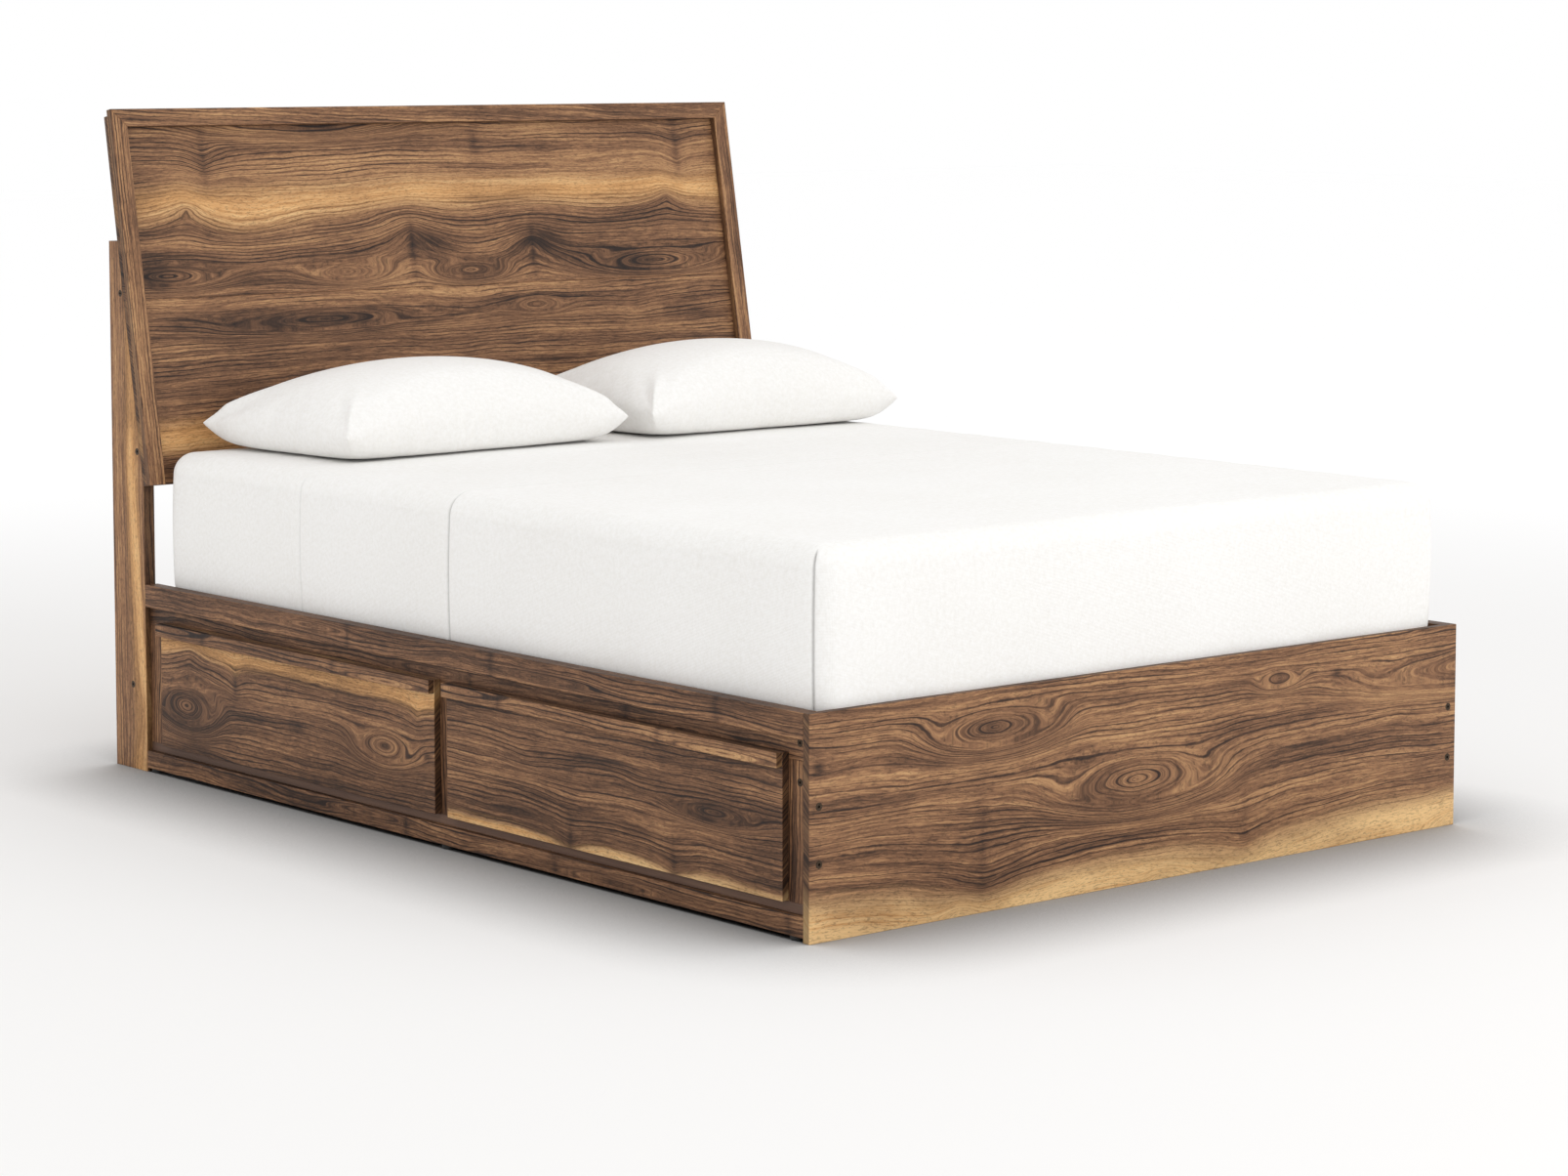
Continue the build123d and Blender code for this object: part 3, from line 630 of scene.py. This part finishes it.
mattressLook = {
    "edgeRound": 0.042,
    "step": 0.014, "fineStep": 0.0018, "fineReach": 0.012,   # grid spacing, and a closer one near seams
    "crown": 0.0012, "bulge": 0.006,
    "crossSeam": -0.045,     # along the bed, where a seam runs up the sides and over the top
    "faintSeam": 0.448,      # and a second, flatter one on the sides alone
    "cornerSeamTurn": 0.34,  # how far round the corner the corner seams lie, 0 on the side and 1 on the end
    "seamWidth": 0.0022, "seamDepth": 0.0035, "faintShare": 0.3,
    "swell": 0.0012, "swellWidth": 0.02,     # the cloth rises softly on both sides of a seam
    "wrinkle": 0.0009,
}


def stations(half, extra, look):
    # evenly spaced places from -half to half, closer near each extra place and through the rounded edges
    places = [np.arange(-half, half, look["step"]), [half]]
    for end in (-1, 1):
        places.append(end * (half - np.linspace(0, look["edgeRound"], 12)))
    for centre in extra:
        places.append(centre + np.arange(-look["fineReach"], look["fineReach"], look["fineStep"]))
    merged = np.unique(np.round(np.concatenate(places), 5))
    keep = np.concatenate([[True], np.diff(merged) > 0.0006])
    merged = merged[keep]
    merged[-1] = half
    return merged


def makeMattress(material):
    # a fitted sheet drawn tight over the mattress: a rounded box with a slight crown, its sides bowed out
    look = mattressLook
    low, high = (np.array(corner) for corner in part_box("mattress"))
    centre, half = (low + high) / 2, (high - low) / 2
    radius = look["edgeRound"]
    crossPlace, faintPlace = look["crossSeam"] - centre[1], look["faintSeam"] - centre[1]
    cornerPlace = half[1] - radius * look["cornerSeamTurn"] * 1.6
    axes = (stations(half[0], (), look), stations(half[1], (crossPlace, faintPlace, -cornerPlace), look),
            stations(half[2], (), look))
    sheets, faces, count = [], [], 0
    for fixed, across, up in ((0, 1, 2), (1, 0, 2), (2, 0, 1)):
        first, second = np.meshgrid(axes[across], axes[up], indexing="ij")
        for end in (-1, 1):
            block = np.zeros(first.shape + (3,))
            block[..., across], block[..., up], block[..., fixed] = first, second, end * half[fixed]
            sheets.append(block.reshape(-1, 3))
            faces.append(gridFaces(*first.shape, start=count))
            count += first.size
    cube = np.concatenate(sheets)
    # a rounded box: clamp each point to the inner box and step out by the radius
    inner = np.clip(cube, -(half - radius), half - radius)
    outward = cube - inner
    outward /= np.linalg.norm(outward, axis=1, keepdims=True)
    shape = inner + radius * outward
    x, y, z = shape.T
    upTurn = outward[:, 2]
    facingUp = np.clip(upTurn, 0, 1)
    # crown on top, bulge round the sides, both fading to nothing at the edges
    topShare = facingUp * np.clip((1 - (x / half[0]) ** 4) * (1 - (y / half[1]) ** 4), 0, 1)
    sideShare = np.sqrt(np.clip(1 - upTurn ** 2, 0, 1)) * np.clip(1 - (z / half[2]) ** 2, 0, 1)
    # faint wrinkles: a few long waves across the top and short pulls up from the rails
    ripples = np.sin(38 * y + 3 * np.sin(2.1 * x)) * np.sin(3.4 * x + 1.3)
    ripples += 0.6 * np.sin(71 * y + 4.1 * x + 2)
    pulls = np.sin(19 * y + 23 * x) * np.exp(-(z + half[2]) / 0.10)
    lift = look["crown"] * topShare + look["bulge"] * sideShare
    lift += look["wrinkle"] * (ripples * facingUp * 0.6 + pulls * (1 - np.abs(upTurn)) * 2)
    # seams: a bell-shaped groove in a wider, lower bell-shaped swell
    flatX, flatY = np.abs(outward[:, 0]), -outward[:, 1]
    turned = np.arctan2(np.clip(flatY, 0, 1), np.clip(flatX, 1e-6, 1)) / (math.pi / 2)
    cornerGap = np.where((np.abs(x) > half[0] - radius) & (y < -(half[1] - radius) + 0.02),
                         (turned - look["cornerSeamTurn"]) * radius * math.pi / 2, 1.0)
    cornerStrength = np.clip((0.85 - upTurn) / 0.25, 0, 1)
    crossStrength = np.clip(1.5 - 1.2 * upTurn, 0.3, 1.0)
    faintStrength = np.clip((0.8 - upTurn) / 0.4, 0, 1) * look["faintShare"]
    seam = np.zeros(len(shape))
    for gap, strength in ((cornerGap, cornerStrength), (y - crossPlace, crossStrength),
                          (y - faintPlace, faintStrength)):
        seam = np.maximum(seam, strength * np.exp(-(gap / look["seamWidth"]) ** 2))
        lift += strength * look["swell"] * np.exp(-(gap / look["swellWidth"]) ** 2)
    lift -= look["seamDepth"] * seam
    shape = shape + outward * lift[:, None] + centre
    # the seam mask goes onto the mesh, where it drives the painted shade in the cotton's colour
    piece = meshPiece("mattress_sheet", shape, np.concatenate(faces), material, seam)
    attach(piece, "bed_frame")
    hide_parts("mattress")
    return piece


# tips are the seam corners in metres: foot left, foot right, head right, head left; crown is the top's
# height, and peak tips it a little towards the right
pillowLooks = {
    "left": {"crown": 0.833, "peak": 0.02,
             "tips": ((-0.650, 0.455, 0.706), (0.068, 0.492, 0.706),
                      (0.050, 0.930, 0.704), (-0.684, 0.930, 0.706))},
    "right": {"crown": 0.835, "peak": 0.05,
              "tips": ((0.112, 0.466, 0.708), (0.784, 0.463, 0.706),
                       (0.790, 0.930, 0.704), (0.100, 0.930, 0.704))},
    "flat": (0.76, 0.52), "cells": (84, 60),
    "bow": 0.04,            # how far the two sheets are apart before they are blown up
    "crowd": 0.35,          # how much closer the grid lines lie at the seam
    "pullIn": (0.035, 0.06),  # the sides' middles draw in by these shares of the half sizes
    "swellPower": 0.45, "undersideDrop": 0.15,
    "simShare": 0.3,        # the rest of the form is the even swell of a well filled pillow
    "creases": 0.009,       # gathers running out of each corner
    "creaseReach": (0.05, 0.12),                 # metres from the corner where they set in and fade
    "rest": 0.6545,         # the underside lies just over the sheet
    "pressure": 3.0, "frames": 16, "quality": 8, "mass": 0.25,
    "stiffness": {"tension": 15, "compression": 8, "shear": 5, "bending": 4.0},
}


def inflate(piece, look):
    # blow the two joined sheets up with cloth pressure, gravity off, and return where every point ends
    cloth = piece.modifiers.new("cloth", "CLOTH")
    settings = cloth.settings
    settings.use_pressure = True
    settings.uniform_pressure_force = look["pressure"]
    settings.effector_weights.gravity = 0.0
    settings.quality, settings.mass = look["quality"], look["mass"]
    for kind, amount in look["stiffness"].items():
        setattr(settings, kind + "_stiffness", amount)
    cloth.point_cache.frame_start = 1
    cloth.point_cache.frame_end = look["frames"]
    scene = bpy.context.scene
    for step in range(1, look["frames"] + 1):
        scene.frame_set(step)
    held = bpy.context.evaluated_depsgraph_get()
    puffed = bpy.data.meshes.new_from_object(piece.evaluated_get(held))
    co = np.zeros(len(puffed.vertices) * 3)
    puffed.vertices.foreach_get("co", co)
    piece.modifiers.clear()
    scene.frame_set(1)
    bpy.data.meshes.remove(puffed)
    return co.reshape(-1, 3)


def crowded(count, crowd):
    # places from -1 to 1, drawn towards both ends: s times (1 + crowd - crowd s squared)
    s = np.linspace(-1, 1, count + 1)
    return s * (1 + crowd - crowd * s ** 2)


def makePillow(side, material):
    # two sheets sewn round their edge and filled: crowned in the middle, drawn in between four pointed tips
    look, shared = pillowLooks[side], pillowLooks
    width, depth = shared["flat"]
    columns, rows = shared["cells"]
    a, b = np.meshgrid(crowded(columns, shared["crowd"]), crowded(rows, shared["crowd"]), indexing="ij")
    # both sheets lie over one rectangle, bowed by the root of (1 - a squared)(1 - b squared)
    bow = shared["bow"] * np.sqrt(np.clip((1 - a ** 2) * (1 - b ** 2), 0, 1))
    sheets = [np.stack([a * width / 2, b * depth / 2, sign * bow], -1).reshape(-1, 3)
              for sign in (1, -1)]
    faces = [gridFaces(columns + 1, rows + 1), gridFaces(columns + 1, rows + 1, start=a.size)[:, ::-1]]
    piece = meshPiece("pillow_cover_" + side, np.concatenate(sheets), np.concatenate(faces), material)
    co = np.zeros(len(piece.data.vertices) * 3)
    piece.data.vertices.foreach_get("co", co)
    flat = co.reshape(-1, 3).copy()
    a, b, top = flat[:, 0] * 2 / width, flat[:, 1] * 2 / depth, np.sign(flat[:, 2])
    # the even swell: a power of (1 - a squared)(1 - b squared), its sides drawn in
    fullness = np.clip((1 - a ** 2) * (1 - b ** 2), 0, 1) ** shared["swellPower"]
    across = a * (1 - shared["pullIn"][0] * (1 - b ** 2))
    along = b * (1 - shared["pullIn"][1] * (1 - a ** 2))
    puffed = inflate(piece, shared)
    corner = np.abs(a) + np.abs(b) > 1.99
    halfNow = np.abs(puffed[corner][:, :2]).mean(0)
    share = shared["simShare"]
    across = (1 - share) * across + share * puffed[:, 0] / halfNow[0]
    along = (1 - share) * along + share * puffed[:, 1] / halfNow[1]
    fullness = (1 - share) * fullness + share * np.abs(puffed[:, 2]) / puffed[:, 2].max()
    # a bilinear map from the unit square to the four tips
    signs = ((-1, -1), (1, -1), (1, 1), (-1, 1))
    base = sum(((1 + across * i) * (1 + along * j) / 4)[:, None] * np.array(tip)
               for (i, j), tip in zip(signs, look["tips"]))
    seamHeight = base[:, 2]
    rise = fullness * (look["crown"] - seamHeight) * (1 + look["peak"] * across)
    # the underside drops and then lies flat: x over the fourth root of one plus x to the fourth
    room = seamHeight - shared["rest"]
    drop = fullness * shared["undersideDrop"] / room
    drop = room * drop / (1 + drop ** 4) ** 0.25
    # gathers: sines of the angle round each corner, which die away over a hand's width
    gather = np.zeros(len(base))
    setIn, fade = shared["creaseReach"]
    for number, (i, j) in enumerate(signs):
        outA, outB = 1 - across * i, 1 - along * j
        away = np.hypot(outA * width / 2, outB * depth / 2)
        turn = np.arctan2(outB * depth, outA * width)
        fan = np.sin(turn * 9 + 1.7 * number + 5 * away) + 0.5 * np.sin(turn * 17 + number)
        gather += fan * np.clip(away / setIn, 0, 1) ** 2 * np.exp(-(away / fade) ** 2)
    gather *= shared["creases"] * np.clip(fullness * 4, 0, 1)
    base[:, 2] += np.where(top > 0, rise + gather, np.where(top < 0, -drop, 0.0))
    piece.data.vertices.foreach_set("co", base.ravel())
    smooth = piece.modifiers.new("finish", "SUBSURF")
    smooth.levels = smooth.render_levels = 1
    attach(piece, "bed_frame")
    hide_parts("pillow_" + side)
    return piece


whiteCotton = wovenCotton("woven white cotton")
makeMattress(whiteCotton)
print("mattress made")
for sideName in ("left", "right"):
    makePillow(sideName, whiteCotton)
print("pillows made")
